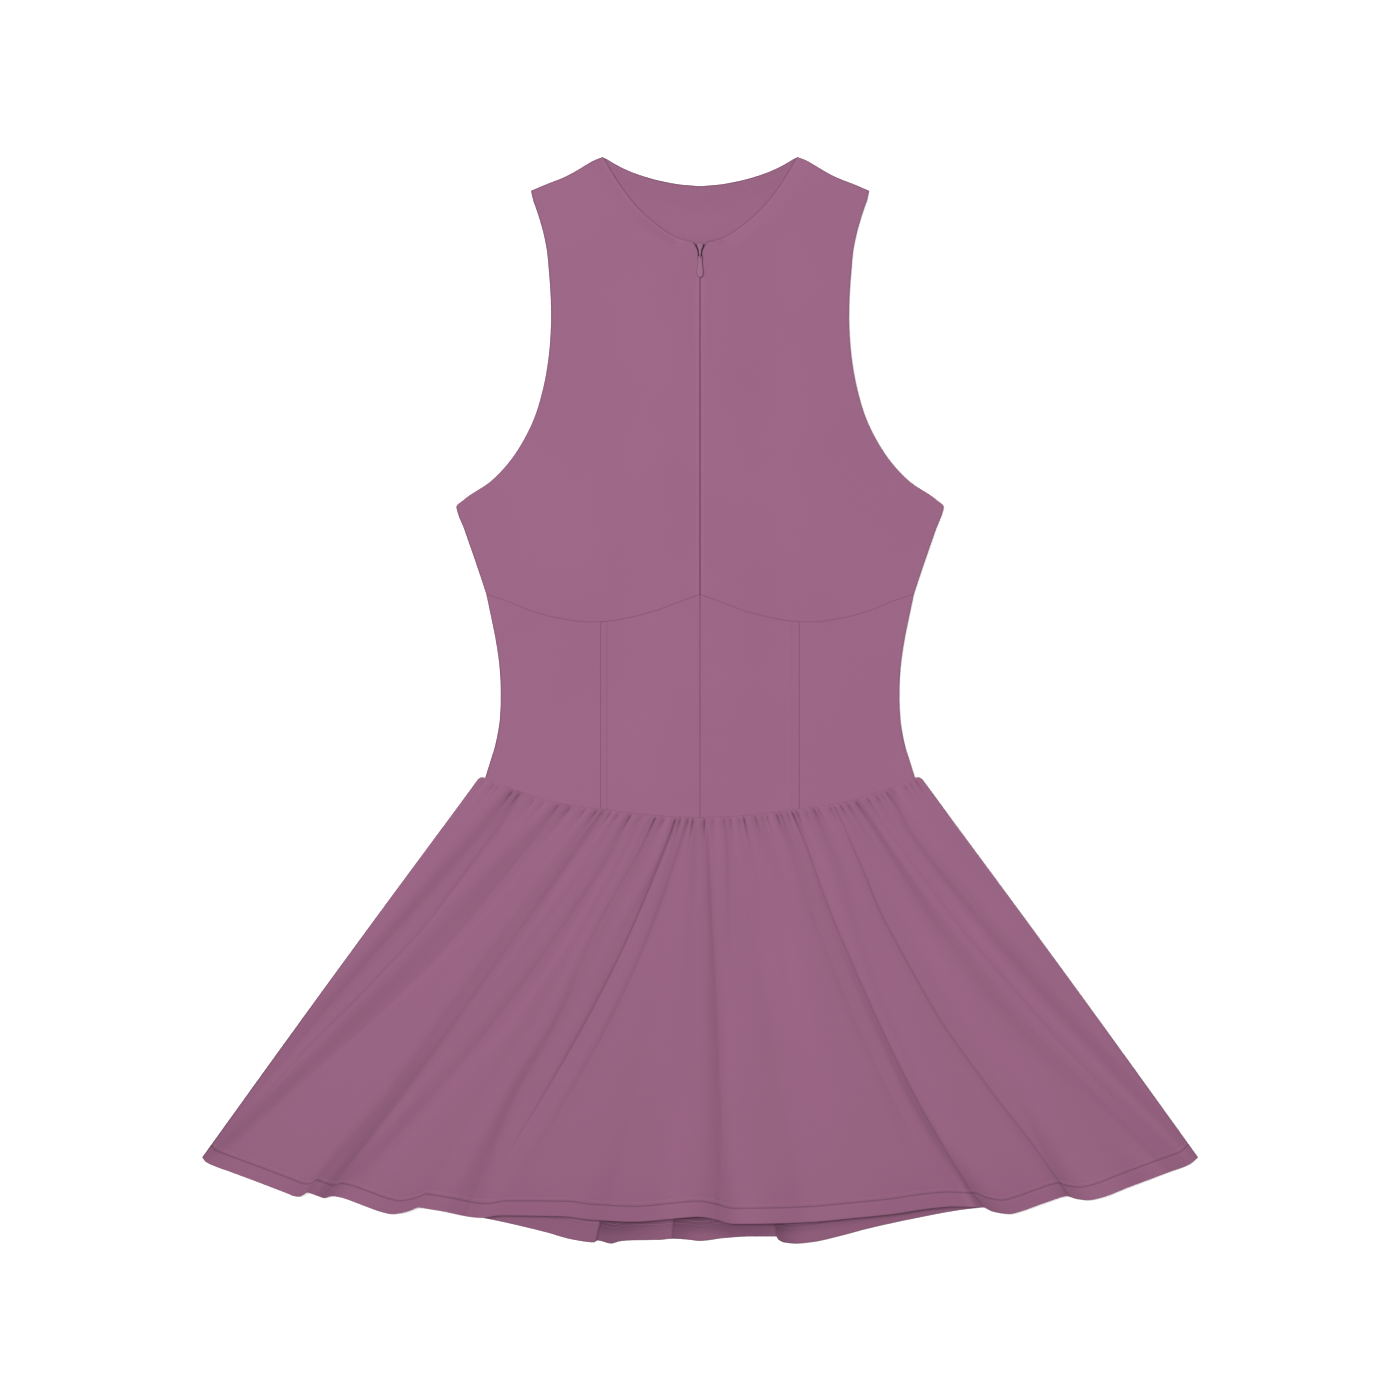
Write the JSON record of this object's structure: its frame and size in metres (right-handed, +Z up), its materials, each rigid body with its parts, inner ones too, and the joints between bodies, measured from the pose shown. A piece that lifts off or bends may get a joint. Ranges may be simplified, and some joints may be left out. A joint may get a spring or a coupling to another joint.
{
  "type": "zip-front dress",
  "caption": "Sleeveless mini dress laid flat, front up: concealed zip to the waist panel, curved under-bust seam, princess seams and a gathered flared skirt.",
  "frame": {"origin": "middle of the garment's outline, on the surface that it lies on", "axes": "+X across the garment towards its own left side, +Y from the hem towards the neck, +Z up out of the front"},
  "size_m": [0.7968, 0.869, 0.0072],
  "materials": {
    "jersey": "matte fine stretch jersey",
    "jersey_back": "matte fine stretch jersey, back and inside",
    "zip_tape": "woven tape",
    "painted_zip_metal": "enamel in the cloth's colour"
  },
  "bodies": {
    "dress": {"front_upper_l": "jersey", "front_upper_r": "jersey", "front_midriff_centre_l": "jersey", "front_midriff_centre_r": "jersey", "front_midriff_side_l": "jersey", "front_midriff_side_r": "jersey", "skirt_front": "jersey", "back_bodice": "jersey_back", "skirt_back": "jersey_back", "zip_tape_l": "zip_tape", "zip_tape_r": "zip_tape", "zip_slider": "painted_zip_metal"},
    "pull": {"zip_pull": "painted_zip_metal"}
  },
  "joints": [
    {"name": "pull_tab_hinge", "type": "hinge", "parent": "dress", "child": "pull", "pos_m": [0, 0.3546, 0.0054], "axis": [-1, 0, 0], "range_deg": [0, 170]}
  ]
}
